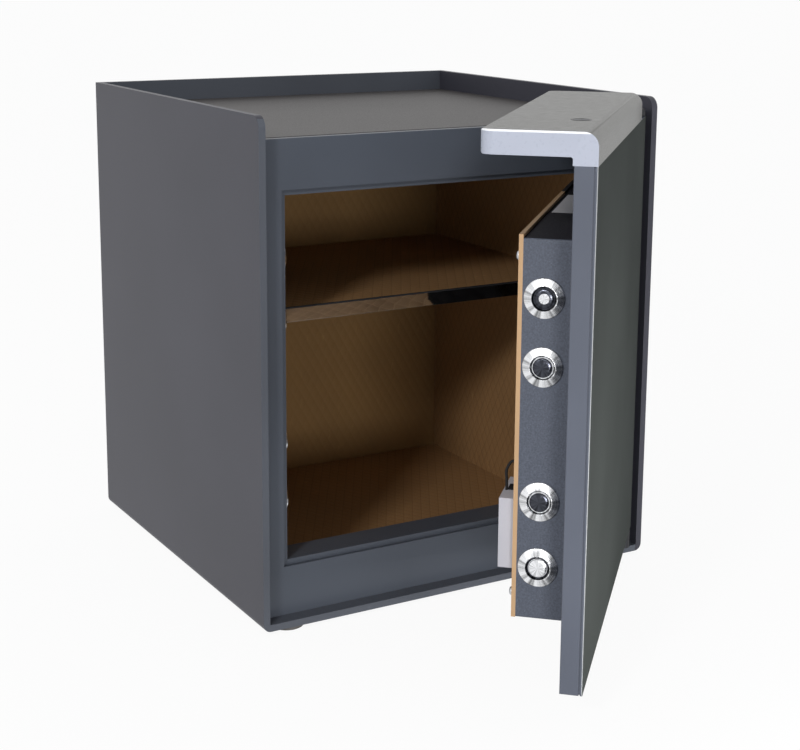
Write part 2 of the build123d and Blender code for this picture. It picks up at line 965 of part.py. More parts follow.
def build_door():
    save("door_face", opened(door_face()))
    save("door_pan", opened(door_pan()))
    save("door_plate", opened(door_plate()))
    save("grip_cap", opened(grip_cap()))
    save("sensor_ring", opened(sensor_ring()))
    save("sensor_lens", opened(sensor_lens()))
    save("lock_case", opened(lock_case()))
    save("cover_board", opened(cover_board()))
    save_group("cover_screws", [opened(screw) for screw in cover_screws()])
    save_group("rosettes", [opened(rosette(z)) for z in bolt_heights])
    save_group("guide_studs", [opened(guide_stud(z)) for z in stud_heights])
    save("actuator", opened(actuator()))
    save("circuit_board", opened(circuit_board()))
    save("battery_box", opened(battery_box()))
    save("battery_lid", opened(battery_lid()))
    save("lead_grommet", opened(lead_grommet()))
    save("battery_lead", opened(battery_lead()))


def build_bolts():
    save_group("bolts", [opened(bolt(z)) for z in bolt_heights])
    save("bolt_bar", opened(bolt_bar()))
    save("actuator_rod", opened(actuator_rod()))


build_cabinet()
build_door()
build_bolts()
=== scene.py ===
"""A small biometric safe, dressed with its finishes and fine detail around the fixed frame."""

import math

import bpy
from mathutils import Matrix, Vector


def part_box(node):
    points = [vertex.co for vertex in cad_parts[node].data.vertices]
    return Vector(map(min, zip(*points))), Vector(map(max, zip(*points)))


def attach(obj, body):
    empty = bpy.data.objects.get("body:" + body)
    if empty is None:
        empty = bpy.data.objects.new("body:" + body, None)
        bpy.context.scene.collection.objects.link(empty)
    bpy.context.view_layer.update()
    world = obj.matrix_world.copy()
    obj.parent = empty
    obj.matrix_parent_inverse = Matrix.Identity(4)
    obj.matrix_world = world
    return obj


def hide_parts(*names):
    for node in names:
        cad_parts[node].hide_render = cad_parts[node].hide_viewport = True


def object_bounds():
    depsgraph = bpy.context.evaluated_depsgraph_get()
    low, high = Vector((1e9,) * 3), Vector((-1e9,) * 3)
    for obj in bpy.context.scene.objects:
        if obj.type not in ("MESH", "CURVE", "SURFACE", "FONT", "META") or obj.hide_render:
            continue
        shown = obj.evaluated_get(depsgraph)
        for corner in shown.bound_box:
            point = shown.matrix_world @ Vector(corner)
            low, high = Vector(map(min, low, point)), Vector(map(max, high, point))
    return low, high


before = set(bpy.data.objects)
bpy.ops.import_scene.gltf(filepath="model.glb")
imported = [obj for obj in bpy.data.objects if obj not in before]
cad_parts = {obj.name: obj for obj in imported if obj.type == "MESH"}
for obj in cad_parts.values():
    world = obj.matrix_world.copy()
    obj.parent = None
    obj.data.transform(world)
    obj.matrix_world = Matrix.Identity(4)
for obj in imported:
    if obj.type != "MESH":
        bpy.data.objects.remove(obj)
CAD_BOX = [list(corner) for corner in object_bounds()]

bl_info = {
    "name": "Biometric Safe",
    "version": (1, 0, 0),
    "blender": (4, 5, 0),
    "location": "3D View > Sidebar > Safe",
    "description": "A small safe with a grip cap, chrome bolts and a quilted lining",
    "category": "Object",
}

# Places in metres. On the door, closed, U runs from its hinge edge and D from its outer face.
MM = 0.001
DOOR_ANGLE = math.radians(46.4)
HINGE = Vector((207 * MM, -212 * MM, 0))
HINGE_EDGE = 218 * MM
DOOR_FACE_Y = -220 * MM
BOLT_HEIGHTS = [361 * MM, 301 * MM, 181 * MM, 121 * MM]
BOLT_DEPTH = 47.5 * MM
CASE_EDGE_U = 383 * MM
CASE_TOP_Z = 412 * MM
BOARD_FACE = 70.5 * MM
DARK_U = 125 * MM
THROAT_X = 194 * MM
CAP_TOP_Z = 508 * MM
BASE_TOP_Z = 30 * MM
HINGE_WING_X = 210 * MM
SENSOR_U = 338 * MM
SENSOR_D = 26.5 * MM
BOX_TOP_Z = 179 * MM
BOLT_BASE_U = 336 * MM
BOLT_REACH_MM = 50.0
BOLT_END_MM = 2.3
BOARD_HINGE_U = 44 * MM
BOARD_THICKNESS = 4 * MM
BOARD_BOTTOM_Z = 73 * MM
BOARD_TOP_Z = 415 * MM
SCREW_PLACES = [(u * MM, z * MM) for u in (54, 373) for z in (93, 395)]
PLATE_U = (130 * MM, 242 * MM)
PLATE_D = (25 * MM, 63 * MM)
FOOT_INSET = 17 * MM
CLIP_U = (338 * MM, 352 * MM)
CLIP_D = (74.3 * MM, 80.7 * MM)
CLIP_HEIGHT = 1.2 * MM
CROSS_REACH = 2.2 * MM
CROSS_Z = (1.7 * MM, 4.0 * MM)

# Which part of each bolt's end is painted dark, as radii in millimetres: painted reflections of the
# dark room on the first three, and a painted shadow round the fourth's edge
PAINTED_DARK_ENDS = ((4.6, 10.5), (0.0, 8.2), (0.0, 8.2), (8.2, 10.5))

# How far a face's normal leans along a direction for the face to be taken
LEANS = 0.3
FACES = 0.7
CORNER = 0.9
SQUARE_ON = 0.95

# Angles below which edges are smoothed, the one above which they are rounded, and the one
# below which two triangles count as flat
SMOOTH = math.radians(32)
QUILT_SMOOTH = math.radians(60)
SHARP = math.radians(35)
FLAT = math.radians(0.5)
MERGE = 2e-6

# A diamond's height over its width, and its slope's width over its rise
DIAMOND = math.sqrt(3)
SLOPE = 4
SIDES = {"x": 0, "y": 1, "z": 2}
RING_SCALE = 100

# Camera: its place, then its yaw, pitch and roll in degrees
CAMERA_PLACE = (-0.8482, -1.5350, 0.6447)
CAMERA_ANGLES = (30.197, 11.456, 0.391)
CAMERA_SENSOR = 36.0
CAMERA_LENS = 72.17
CAMERA_SHIFT = -0.12
FLOOR_SIZE = 40

# Each lamp's name, place, size and the property with its power
LAMPS = (
    ("key_lamp", (-2.10, -1.80, 1.60), 0.4, "key_power"),
    ("front_lamp", (-0.86, -2.4, 0.14), 0.4, "front_power"),
    ("low_lamp", (0.20, -0.85, 0.02), 0.2, "low_power"),
)
LAMP_AIM = Vector((0, 0, 0.25))


def length(label, about, default):
    return bpy.props.FloatProperty(
        name=label, description=about, default=default, unit="LENGTH", precision=5
    )


def amount(label, about, default):
    return bpy.props.FloatProperty(name=label, description=about, default=default)


def colour(label, about, default):
    return bpy.props.FloatVectorProperty(
        name=label, description=about, default=default, size=3, subtype="COLOR", min=0, max=1
    )


class SafeSizes(bpy.types.PropertyGroup):
    sheet_edge: length("Sheet edge", "Rounding along the painted sheet's edges", 0.0007)
    case_edge: length("Case edge", "Rounding along the lock case's edges", 0.0006)
    cap_edge: length("Cap edge", "Rounding along the grip cap's edges", 0.0006)
    # The bright line along the cap's end is a painted highlight.
    cap_rim: length("Cap rim", "Height of the bright line along the cap's end", 0.0017)
    metal_edge: length("Metal edge", "Rounding along small machined edges", 0.0004)
    quilt_cell: length("Quilt cell", "Width of one diamond of the quilting", 0.0115)
    board_cell: length("Board cell", "Width of one diamond on the cover board", 0.0200)
    board_rise: length("Board rise", "How far its diamonds stand above their seams", 0.00015)
    quilt_seam: length("Quilt seam", "Half the width of a seam between diamonds", 0.00040)
    quilt_rise: length("Quilt rise", "How far a diamond stands above its seam", 0.00010)
    wall_rise: length("Wall rise", "The same on the walls, which are pressed flatter", 0.00005)
    # Painted shade: a dark band along the top of the shelf's trim, between the trim and the shelf.
    trim_shade: length("Trim seam", "Dark seam along the top of the shelf's trim", 0.0017)
    box_edge: length("Battery box edge", "Rounding along the battery box's edges", 0.0011)
    fine_edge: length("Fine edge", "Rounding along the battery lid and the grommet", 0.0002)
    label_edge: length("Label edge", "Rounding along the bare plate's edges", 0.00012)
    screw_slot: length("Screw slot", "Width of the cross recess in a screw head", 0.0011)
    label_rise: length("Label rise", "Thickness of the bare plate on the lock case", 0.0004)


class SafeColours(bpy.types.PropertyGroup):
    cabinet: colour("Cabinet", "Powder coat of the outer sheet", (0.044, 0.044, 0.057))
    # Painted light: a lighter copy of the cabinet's coat for its front-facing faces and the top of
    # its base, where more light falls.
    edge: colour("Cabinet edges", "Powder coat on the cabinet's front edges", (0.078, 0.086, 0.104))
    tray: colour("Tray", "Powder coat of the tray", (0.055, 0.051, 0.050))
    frame_coat: colour("Frame", "Powder coat of the front frame", (0.067, 0.077, 0.097))
    door: colour("Door", "Powder coat of the door leaf", (0.090, 0.100, 0.128))
    door_outside: colour("Door front", "Coat of the door's outer face", (0.057, 0.062, 0.059))
    case: colour("Lock case", "Textured coat of the lock case", (0.077, 0.087, 0.113))
    # Painted shade: the lock case's top is darker than its sides, as it lies under the grip cap.
    case_top: colour("Case top", "Dark top of the lock case", (0.020, 0.019, 0.025))
    plate: colour("Plate", "Bare plate on the lock case", (0.700, 0.690, 0.720))
    # Painted highlight along the top edge of the cap's end.
    glint: colour("Glint", "Bright line along the cap's end", (0.800, 0.810, 0.840))
    # Painted highlight along the bevel of the door's outer corner at its free edge.
    door_line: colour("Door line", "Worn line along the door's outer corner", (0.300, 0.310, 0.320))
    foot: colour("Feet", "Rubber of the feet", (0.110, 0.105, 0.100))
    felt: colour("Lining", "Quilted lining of the back", (0.242, 0.140, 0.053))
    mat: colour("Mat", "Quilted mat, shelf and sides", (0.290, 0.163, 0.070))
    mat_stitch: colour("Mat stitching", "Seams of the mat, shelf and sides", (0.222, 0.123, 0.051))
    board: colour("Board", "Tan cover board", (0.470, 0.300, 0.165))
    aluminium: colour("Cap", "Satin grip cap", (0.120, 0.120, 0.114))
    # The cap's cut end is bare metal, and its pale blue brightness is partly painted reflection.
    cap_end: colour("Cap end", "Bright cut end of the grip cap", (0.370, 0.392, 0.462))
    stitch: colour("Stitching", "Seams of the back's quilting", (0.236, 0.137, 0.052))
    # Painted reflection and shadow on the bolts' ends, a dark copy of their chrome.
    bolt_reflection_and_shadow: colour("Dark chrome", "Ends of the bolts", (0.060, 0.064, 0.078))
    black_steel: colour("Black steel", "Hinge pins and brackets", (0.045, 0.046, 0.050))
    chrome: colour("Chrome", "Polished and turned chrome", (0.740, 0.750, 0.770))
    zinc: colour("Zinc", "Zinc-plated steel", (0.520, 0.530, 0.550))
    steel: colour("Body steel", "Primer grey on the inner body", (0.130, 0.130, 0.140))
    rubber: colour("Rubber", "Lead and grommet", (0.022, 0.022, 0.023))
    plastic: colour("Battery box", "Pale battery box", (0.430, 0.425, 0.465))
    glass: colour("Reader", "Dark window of the reader", (0.018, 0.019, 0.022))
    brass: colour("Brass", "Thrust washer", (0.620, 0.420, 0.160))
    works: colour("Works", "Matt black of the small dark parts", (0.020, 0.020, 0.022))
    mask: colour("Circuit board", "Solder mask", (0.015, 0.110, 0.040))


class SafeStage(bpy.types.PropertyGroup):
    key_power: amount("Key", "Power of the key lamp", 32.0)
    front_power: amount("Front", "Power of the front lamp", 17.0)
    low_power: amount("Low", "Power of the low lamp by the door", 3.0)
    room_light: amount("Room", "Level of the room's light", 0.58)
    floor_show: amount("Floor shade", "How much of the floor's shadow the camera sees", 0.07)


def sizes():
    return bpy.context.scene.safe_sizes


def colours():
    return bpy.context.scene.safe_colours


# Selection and edit-mode helpers
def object_mode():
    if bpy.context.object and bpy.context.object.mode != "OBJECT":
        bpy.ops.object.mode_set(mode="OBJECT")


def pick(piece):
    object_mode()
    bpy.ops.object.select_all(action="DESELECT")
    piece.select_set(True)
    bpy.context.view_layer.objects.active = piece


def edit(piece):
    pick(piece)
    bpy.ops.object.mode_set(mode="EDIT")


def select_all():
    bpy.ops.mesh.select_all(action="SELECT")


def cut(piece, place, normal):
    """Cuts a piece's faces along a plane, and takes nothing away."""
    edit(piece)
    select_all()
    bpy.ops.mesh.bisect(plane_co=place, plane_no=normal)
    object_mode()


def start(name):
    """Names the primitive that was just added, and its mesh."""
    piece = bpy.context.object
    piece.name = name
    piece.data.name = name
    return piece


def clear_start():
    """Leaves nothing selected, before a primitive is added."""
    object_mode()
    bpy.ops.object.select_all(action="DESELECT")


def settle(piece, matrix=None):
    """Puts a piece's place into its mesh, so its object sits at the origin, unturned."""
    pick(piece)
    if matrix is not None:
        piece.matrix_world = matrix @ piece.matrix_world
    bpy.context.view_layer.update()
    bpy.ops.object.transform_apply(location=True, rotation=True, scale=True)
    return piece


def soften(piece, width, segments=2):
    """Rounds a piece's sharp edges and smooths its curved faces."""
    pick(piece)
    if width > 0:
        bevel = piece.modifiers.new("edges", "BEVEL")
        bevel.width = width
        bevel.segments = segments
        bevel.limit_method = "ANGLE"
        bevel.angle_limit = SHARP
        bevel.miter_outer = "MITER_ARC"
        bpy.ops.object.modifier_apply(modifier=bevel.name)
    bpy.ops.object.shade_smooth_by_angle(angle=SMOOTH)
    flatten = piece.modifiers.new("flatten", "WEIGHTED_NORMAL")
    flatten.keep_sharp = True
    bpy.ops.object.modifier_apply(modifier=flatten.name)


def finish_piece(piece, body, slot, material, *nodes):
    """Gives a piece one finish and its body, and hides the nodes that it stands for. Its slot is
    not used.
    """
    piece.data.materials.clear()
    piece.data.materials.append(material)
    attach(piece, body)
    if nodes:
        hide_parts(*nodes)
    return piece


def add_finish(piece, material, wanted):
    """Gives the faces that pass a test another finish."""
    piece.data.materials.append(material)
    index = len(piece.data.materials) - 1
    for face in piece.data.polygons:
        if wanted(face):
            face.material_index = index


def facing(direction, least):
    """A test for the faces whose normals lean far enough along a direction."""
    return lambda face: face.normal.dot(direction) > least


def copy_of(piece, name):
    """A second piece like the first, with a mesh of its own."""
    twin = bpy.data.objects.new(name, piece.data.copy())
    twin.data.name = name
    bpy.context.scene.collection.objects.link(twin)
    return twin


def four(first):
    """A piece whose name ends in 1, and three copies of it."""
    return [first] + [copy_of(first, first.name[:-1] + n) for n in "234"]


def dress(node, body, slot, material, edge, segments=2):
    """Stands a cleaned and softened copy of a CAD node in its place."""
    piece = copy_of(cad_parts[node], node + "_skin")
    edit(piece)
    select_all()
    bpy.ops.mesh.remove_doubles(threshold=MERGE)
    bpy.ops.mesh.tris_convert_to_quads(face_threshold=FLAT, shape_threshold=math.pi)
    bpy.ops.mesh.normals_make_consistent(inside=False)
    object_mode()
    soften(piece, edge, segments)
    return finish_piece(piece, body, slot, material, node)


def paint_node(node, material):
    """Gives a CAD node that keeps its own mesh its material."""
    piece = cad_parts[node]
    piece.data.materials.clear()
    piece.data.materials.append(material)


# Places on the door
def opened():
    """The turn that takes the closed door's places to the door at rest."""
    turn = Matrix.Rotation(DOOR_ANGLE, 4, "Z")
    return Matrix.Translation(HINGE) @ turn @ Matrix.Translation(-HINGE)


def along_door(direction):
    """Turns a direction of the closed door to the door at rest."""
    return opened().to_3x3() @ Vector(direction)


def door_place(u, d, z):
    return Vector((HINGE_EDGE - u, DOOR_FACE_Y + d, z))


def quarter_turned(u, d, z, axis):
    quarter = Matrix.Rotation(-math.pi / 2, 4, axis)
    return opened() @ Matrix.Translation(door_place(u, d, z)) @ quarter


def to_free_edge(u, d, z):
    """Turns a piece's own Z towards the door's free edge, at a place on the door."""
    return quarter_turned(u, d, z, "Y")


def to_inside(u, d, z):
    """Turns a piece's own Z towards the cabinet, at a place on the door."""
    return quarter_turned(u, d, z, "X")


def box_piece(name, low, high):
    """A box between two corners, added as a cube."""
    clear_start()
    middle = [(a + b) / 2 for a, b in zip(low, high)]
    span = [b - a for a, b in zip(low, high)]
    bpy.ops.mesh.primitive_cube_add(size=1, location=middle, scale=span)
    return settle(start(name))


def door_box(name, u0, u1, d0, d1, z0, z1):
    low = (HINGE_EDGE - u1, DOOR_FACE_Y + d0, z0)
    high = (HINGE_EDGE - u0, DOOR_FACE_Y + d1, z1)
    return box_piece(name, low, high)


# Turned pieces
def turned(name, profile, ring, vertices=72):
    """A piece turned about its own Z from (radius, height) steps in millimetres."""
    clear_start()
    points = [(radius * MM, height * MM) for radius, height in profile]
    radius, height = points[0]
    bpy.ops.mesh.primitive_circle_add(vertices=vertices, radius=radius, location=(0, 0, height))
    piece = settle(start(name))
    edit(piece)
    select_all()
    steps = points[1:] + (points[:1] if ring else [])
    for next_radius, next_height in steps:
        bpy.ops.mesh.extrude_region_move()
        factor = next_radius / radius
        bpy.ops.transform.resize(value=(factor, factor, 1), center_override=(0, 0, height))
        bpy.ops.transform.translate(value=(0, 0, next_height - height))
        radius, height = next_radius, next_height
    if not ring:
        bpy.ops.mesh.edge_face_add()
        bpy.ops.mesh.select_all(action="DESELECT")
        bpy.ops.mesh.select_mode(type="EDGE")
        bpy.ops.mesh.select_non_manifold(
            use_wire=False, use_multi_face=False, use_non_contiguous=False
        )
        bpy.ops.mesh.edge_face_add()
    select_all()
    bpy.ops.mesh.remove_doubles(threshold=MERGE)
    bpy.ops.mesh.normals_make_consistent(inside=False)
    object_mode()
    bpy.ops.object.shade_smooth_by_angle(angle=SMOOTH)
    map_turning(piece)
    return piece


def map_turning(piece):
    """A UV map whose U runs round the axis and V away from it, for the lathe's marks, and one round
    the axis for the painted highlight spokes.
    """
    mesh = piece.data
    layer = mesh.uv_layers.new(name="turning")
    spokes = mesh.uv_layers.new(name="spokes")
    for face in mesh.polygons:
        middle = math.atan2(face.center.y, face.center.x)
        for loop in face.loop_indices:
            point = mesh.vertices[mesh.loops[loop].vertex_index].co
            away = math.atan2(point.y, point.x) - middle
            away = (away + math.pi) % math.tau - math.pi
            radius = math.hypot(point.x, point.y)
            layer.data[loop].uv = ((middle + away) / math.tau, (radius + point.z) * RING_SCALE)
            spokes.data[loop].uv = (point.x / radius, point.y / radius)


# Quilted lining
def lining_panel(node, axis, way):
    """A quilted piece in place of a node of the lining, flatter on walls and darker at the back."""
    rise = sizes().quilt_rise if axis == "z" else sizes().wall_rise
    cover = "quilt" if axis == "y" else "mat"
    piece, seams = quilted(node + "_quilt", *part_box(node), axis, way, sizes().quilt_cell, rise)
    finish_piece(piece, "cabinet", "felt", finish(cover), node)
    add_finish(piece, finish(cover + "_stitch"), lambda face: face.index in seams)


def quilted(name, low, high, axis, way, cell, rise):
    """A panel between two corners with raised diamonds on the side that faces along an axis,
    and the indices of the faces in the seams between them."""
    k = SIDES[axis]
    across = [i for i in range(3) if i != k]
    normal = Vector((0, 0, 0))
    normal[k] = way
    back = low[k] if way > 0 else high[k]
    middle = (low + high) / 2
    middle[k] = back
    thickness = high[k] - low[k]
    reach = max(high[i] - low[i] for i in across)
    count = 2 * math.ceil(reach / cell)
    turn = normal.to_track_quat("Z", "Y").to_matrix().to_4x4()
    diamonds = Matrix.Diagonal((1, DIAMOND, 1, 1)) @ Matrix.Rotation(math.pi / 4, 4, "Z")
    clear_start()
    size = count * cell / math.sqrt(2)
    bpy.ops.mesh.primitive_grid_add(x_subdivisions=count, y_subdivisions=count, size=size)
    piece = start(name)
    settle(piece)
    piece.data.transform(Matrix.Translation(middle) @ turn @ diamonds)
    edit(piece)
    for i in across:
        for edge, side in ((low, -1), (high, 1)):
            select_all()
            plane = Vector((0, 0, 0))
            plane[i] = side
            bpy.ops.mesh.bisect(plane_co=edge, plane_no=plane, clear_outer=True)
    select_all()
    bpy.ops.mesh.extrude_region_move(TRANSFORM_OT_translate={"value": normal * (thickness - rise)})
    bpy.ops.mesh.inset(thickness=sizes().quilt_seam, depth=0, use_individual=True)
    bpy.ops.mesh.inset(thickness=SLOPE * rise, depth=rise, use_individual=True)
    select_all()
    bpy.ops.mesh.normals_make_consistent(inside=False)
    object_mode()
    bpy.ops.object.shade_smooth_by_angle(angle=QUILT_SMOOTH)
    level = back + way * (thickness - rise)
    flat = [face for face in piece.data.polygons if abs(face.center[k] - level) < rise / 4]
    return piece, {face.index for face in flat}


# Materials
def add_node(tree, kind, settings=(), inputs=()):
    node = tree.nodes.new(kind)
    for key, value in dict(settings).items():
        setattr(node, key, value)
    for key, value in dict(inputs).items():
        node.inputs[key].default_value = value
    return node


def scaled(value, factor):
    return [min(1.0, channel * factor) for channel in value]


def rgba(value, factor):
    return scaled(value, factor) + [1.0]


def empty_material(name):
    material = bpy.data.materials.new(name)
    material.use_nodes = True
    tree = material.node_tree
    tree.nodes.clear()
    output = add_node(tree, "ShaderNodeOutputMaterial")
    shader = add_node(tree, "ShaderNodeBsdfPrincipled")
    tree.links.new(shader.outputs["BSDF"], output.inputs["Surface"])
    return material, tree, shader


def place_nodes(tree, turn=0.0, stretch=(1, 1, 1)):
    """Object coordinates, turned about Z and stretched."""
    place = add_node(tree, "ShaderNodeTexCoord")
    mapping = add_node(tree, "ShaderNodeMapping", {}, {"Rotation": (0, 0, turn), "Scale": stretch})
    tree.links.new(place.outputs["Object"], mapping.inputs["Vector"])
    return mapping.outputs["Vector"]


def noise(tree, vector, scale, detail):
    node = add_node(tree, "ShaderNodeTexNoise", {}, {"Scale": scale, "Detail": detail})
    tree.links.new(vector, node.inputs["Vector"])
    return node.outputs["Fac"]


def noise_along(tree, value, scale, detail):
    """Noise that changes along one value only."""
    inputs = {"Scale": scale, "Detail": detail}
    node = add_node(tree, "ShaderNodeTexNoise", {"noise_dimensions": "1D"}, inputs)
    tree.links.new(value, node.inputs["W"])
    return node.outputs["Fac"]


def spread(tree, value, low, high, start_at=0.3, end_at=0.7):
    """Maps a pattern's middle range to another range."""
    limits = {"From Min": start_at, "From Max": end_at, "To Min": low, "To Max": high}
    node = add_node(tree, "ShaderNodeMapRange", {}, limits)
    tree.links.new(value, node.inputs["Value"])
    return node.outputs["Result"]


def blend_colours(tree, factor, first, second):
    node = add_node(tree, "ShaderNodeMix", {"data_type": "RGBA"})
    for index, side in ((6, first), (7, second)):
        if isinstance(side, bpy.types.NodeSocket):
            tree.links.new(side, node.inputs[index])
        else:
            node.inputs[index].default_value = side
    tree.links.new(factor, node.inputs[0])
    return node.outputs[2]


def drift(tree, pattern, base, low, high):
    """A colour that drifts between two factors of itself with a pattern."""
    share = spread(tree, pattern, 0.0, 1.0)
    return blend_colours(tree, share, rgba(base, low), rgba(base, high))


def coat(tree, shader, tones, roughness):
    """Links a shader's colour and roughness."""
    tree.links.new(tones, shader.inputs["Base Color"])
    tree.links.new(roughness, shader.inputs["Roughness"])


def bump(tree, shader, height, distance, strength):
    node = add_node(tree, "ShaderNodeBump", {}, {"Strength": strength, "Distance": distance})
    tree.links.new(height, node.inputs["Height"])
    tree.links.new(node.outputs["Normal"], shader.inputs["Normal"])


def powder_coat(name, base, roughness=0.42, grain=900.0, depth=0.00006, tone=0.10, gloss=0.25):
    """Baked paint: a broad drift of tone, a fine orange peel and a soft gloss."""
    material, tree, shader = empty_material(name)
    vector = place_nodes(tree)
    broad = noise(tree, vector, 5.0, 3.0)
    fine = noise(tree, vector, grain, 1.0)
    tones = drift(tree, broad, base, 1 - tone, 1 + tone)
    coat(tree, shader, tones, spread(tree, fine, roughness - 0.05, roughness + 0.07))
    shader.inputs["Specular IOR Level"].default_value = gloss
    bump(tree, shader, fine, depth, 0.5)
    return material


def speckled_coat(name, base):
    """Textured paint with pale specks, as on the lock case."""
    material, tree, shader = empty_material(name)
    vector = place_nodes(tree)
    lumps = noise(tree, vector, 620.0, 3.0)
    specks = noise(tree, vector, 1100.0, 2.0)
    body = drift(tree, lumps, base, 0.78, 1.18)
    pale = blend_colours(tree, spread(tree, specks, 0.0, 0.5, 0.62, 0.74), body, rgba(base, 2.0))
    shader.inputs["Specular IOR Level"].default_value = 0.25
    coat(tree, shader, pale, spread(tree, lumps, 0.42, 0.62))
    bump(tree, shader, lumps, 0.00016, 0.6)
    return material


def cloth(name, base):
    """Leather-like cloth: a broad drift of tone, a soft nap and short light creases."""
    material, tree, shader = empty_material(name)
    vector = place_nodes(tree)
    broad = noise(tree, vector, 9.0, 3.0)
    nap = noise(tree, vector, 700.0, 2.0)
    creases = noise(tree, place_nodes(tree, 0.0, (5.0, 5.0, 1.6)), 26.0, 3.0)
    body = drift(tree, broad, base, 0.90, 1.10)
    worn = blend_colours(tree, spread(tree, nap, 0.0, 0.3), body, rgba(base, 1.25))
    lines = spread(tree, creases, 0.0, 0.5, 0.64, 0.76)
    creased = blend_colours(tree, lines, worn, rgba(base, 1.55))
    coat(tree, shader, creased, spread(tree, nap, 0.62, 0.82))
    shader.inputs["Specular IOR Level"].default_value = 0.3
    bump(tree, shader, nap, 0.00008, 0.4)
    return material


def metal(
    name, base, roughness, stretch=(1, 1, 1), grain=700.0, depth=0.00002, turn=0.0, tone=0.08
):
    """Bare or plated metal with the marks of its finishing, drawn out along one direction."""
    material, tree, shader = empty_material(name)
    vector = place_nodes(tree, turn, stretch)
    marks = noise(tree, vector, grain, 3.0)
    broad = noise(tree, place_nodes(tree), 14.0, 2.0)
    tones = drift(tree, broad, base, 1 - tone, 1 + tone)
    shader.inputs["Metallic"].default_value = 1.0
    coat(tree, shader, tones, spread(tree, marks, roughness * 0.7, roughness * 1.4))
    bump(tree, shader, marks, depth, 0.5)
    return material


def turned_metal(name, base, roughness, dark):
    """Lathe-turned metal, whose rings draw its highlights into spokes; spokes of light and dark are
    also painted into its colour as painted highlights.
    """
    material, tree, shader = empty_material(name)
    way = add_node(tree, "ShaderNodeUVMap", {"uv_map": "turning"})
    parts = add_node(tree, "ShaderNodeSeparateXYZ")
    tree.links.new(way.outputs["UV"], parts.inputs["Vector"])
    rings = noise_along(tree, parts.outputs["Y"], 60.0, 2.0)
    round_way = add_node(tree, "ShaderNodeUVMap", {"uv_map": "spokes"})
    # Painted highlights: spokes of light and dark drawn round the axis into the colour.
    spokes = noise(tree, round_way.outputs["UV"], 2.6, 5.0)
    share = spread(tree, spokes, 0.0, 1.0, 0.36, 0.58)
    tones = blend_colours(tree, share, rgba(base, dark), rgba(base, 1.12))
    shader.inputs["Metallic"].default_value = 1.0
    coat(tree, shader, tones, spread(tree, rings, roughness * 0.7, roughness * 1.5))
    shader.inputs["Anisotropic"].default_value = 0.85
    tangent = add_node(tree, "ShaderNodeTangent", {"direction_type": "UV_MAP", "uv_map": "turning"})
    tree.links.new(tangent.outputs["Tangent"], shader.inputs["Tangent"])
    bump(tree, shader, rings, 0.00001, 0.4)
    return material


def moulded(name, base, roughness=0.45, grain=1200.0, depth=0.00004, tone=0.08, gloss=0.25):
    """Plastic, rubber or a smooth bright face, with a fine grain."""
    return powder_coat(name, base, roughness, grain, depth, tone, gloss)


def mirror(name):
    """Polished trim with a faint cloudiness."""
    material, tree, shader = empty_material(name)
    haze = noise(tree, place_nodes(tree), 25.0, 3.0)
    dull, bright = (0.50, 0.50, 0.51, 1), (0.62, 0.62, 0.63, 1)
    tones = blend_colours(tree, spread(tree, haze, 0.0, 1.0), dull, bright)
    shader.inputs["Metallic"].default_value = 1.0
    coat(tree, shader, tones, spread(tree, haze, 0.03, 0.07))
    bump(tree, shader, haze, 0.00003, 0.2)
    return material


FINISHES = {}


def finish(name):
    """Each finish is made once, when it is first asked for."""
    tones = colours()
    makers = {
        "cabinet_coat": lambda: powder_coat(name, tones.cabinet),
        "edge_coat": lambda: powder_coat(name, tones.edge),
        "tray_coat": lambda: powder_coat(name, tones.tray, 0.5),
        "frame_coat": lambda: powder_coat(name, tones.frame_coat, 0.38),
        "primer": lambda: powder_coat(name, tones.steel, 0.55),
        "door_coat": lambda: powder_coat(name, tones.door, 0.36),
        "door_outside": lambda: powder_coat(name, tones.door_outside, 0.6, gloss=0.0),
        "door_line": lambda: moulded(name, tones.door_line, 0.35, 300.0, 0.00001, 0.03),
        "case_coat": lambda: speckled_coat(name, tones.case),
        "case_top": lambda: powder_coat(name, tones.case_top, 0.6, gloss=0.06),
        "label_plate": lambda: moulded(name, tones.plate, 0.35, 500.0, 0.00001, 0.04),
        "quilt": lambda: cloth(name, tones.felt),
        "quilt_stitch": lambda: cloth(name, tones.stitch),
        "mat": lambda: cloth(name, tones.mat),
        "mat_stitch": lambda: cloth(name, tones.mat_stitch),
        "board_tan": lambda: moulded(name, tones.board, 0.50, 700.0, 0.00005),
        "board_stitch": lambda: moulded(name, scaled(tones.board, 1.5), 0.55, 900.0),
        "trim_mirror": lambda: mirror(name),
        "cap_satin": lambda: metal(
            name, tones.aluminium, 0.38, (1, 40, 40), 90.0, 0.000005, -DOOR_ANGLE, 0.03
        ),
        "cap_bright": lambda: moulded(name, tones.cap_end, 0.30, 300.0, 0.00001, 0.03),
        "glint": lambda: moulded(name, tones.glint, 0.25, 300.0, 0.00001, 0.03),
        "ring_dark": lambda: moulded(name, tones.glass, 0.35, 500.0, 0.00001),
        "reader_glass": lambda: moulded(name, scaled(tones.glass, 3), 0.30, 500.0, 0.00001),
        "chrome_dark": lambda: turned_metal(name, tones.bolt_reflection_and_shadow, 0.16, 0.34),
        "chrome_turned": lambda: turned_metal(name, tones.chrome, 0.22, 0.30),
        "chrome_bright": lambda: turned_metal(name, tones.chrome, 0.16, 0.75),
        "zinc": lambda: metal(name, tones.zinc, 0.34),
        "ground_steel": lambda: metal(name, tones.zinc, 0.22, (1, 1, 12), 400.0),
        "black_steel": lambda: metal(name, tones.black_steel, 0.42),
        "brass": lambda: metal(name, tones.brass, 0.30),
        "foot_rubber": lambda: moulded(name, tones.foot, 0.6),
        "rubber": lambda: moulded(name, tones.rubber, 0.70, gloss=0.08),
        "battery_plastic": lambda: moulded(name, tones.plastic, 0.34),
        "works_black": lambda: moulded(name, tones.works, 0.6, gloss=0.05),
        "solder_mask": lambda: moulded(name, tones.mask, 0.32),
    }
    if name not in FINISHES:
        FINISHES[name] = makers[name]()
    return FINISHES[name]


